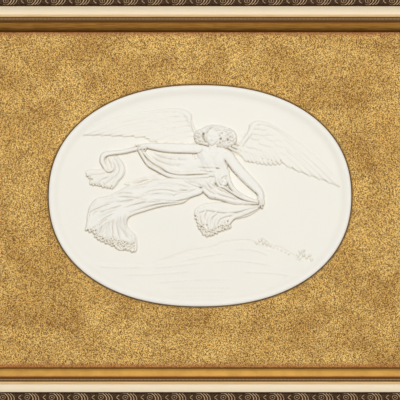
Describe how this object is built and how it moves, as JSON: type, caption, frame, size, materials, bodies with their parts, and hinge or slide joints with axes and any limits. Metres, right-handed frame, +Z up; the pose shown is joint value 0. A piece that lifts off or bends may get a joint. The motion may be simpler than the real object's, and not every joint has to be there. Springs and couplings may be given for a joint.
{
  "type": "framed porcelain relief plaque",
  "caption": "Oval white porcelain plaque with a low relief of a winged figure over a landscape, set in a gilt mount board and a moulded frame for hanging on a wall.",
  "frame": {"origin": "middle of the flat back of the frame's top rail, the face that bears on the wall", "axes": "+Z up, +X to the right seen from the front, +Y back into the wall, so the carved front faces -Y"},
  "size_m": [0.644, 0.0331, 0.5389],
  "materials": {
    "plaque": "unglazed matt bisque",
    "mount_board": "gold ground with dark speckle",
    "backing_board": "plain brown, matt",
    "slip": "gilded over red bole",
    "frame": "bronze, champagne and gold leaf on wood"
  },
  "bodies": {
    "root": {"plaque": "plaque", "mount_board": "mount_board", "backing_board": "backing_board", "slip_top": "slip", "slip_bottom": "slip", "slip_left": "slip", "slip_right": "slip", "frame_top": "frame", "frame_bottom": "frame", "frame_left": "frame", "frame_right": "frame"}
  },
  "joints": []
}
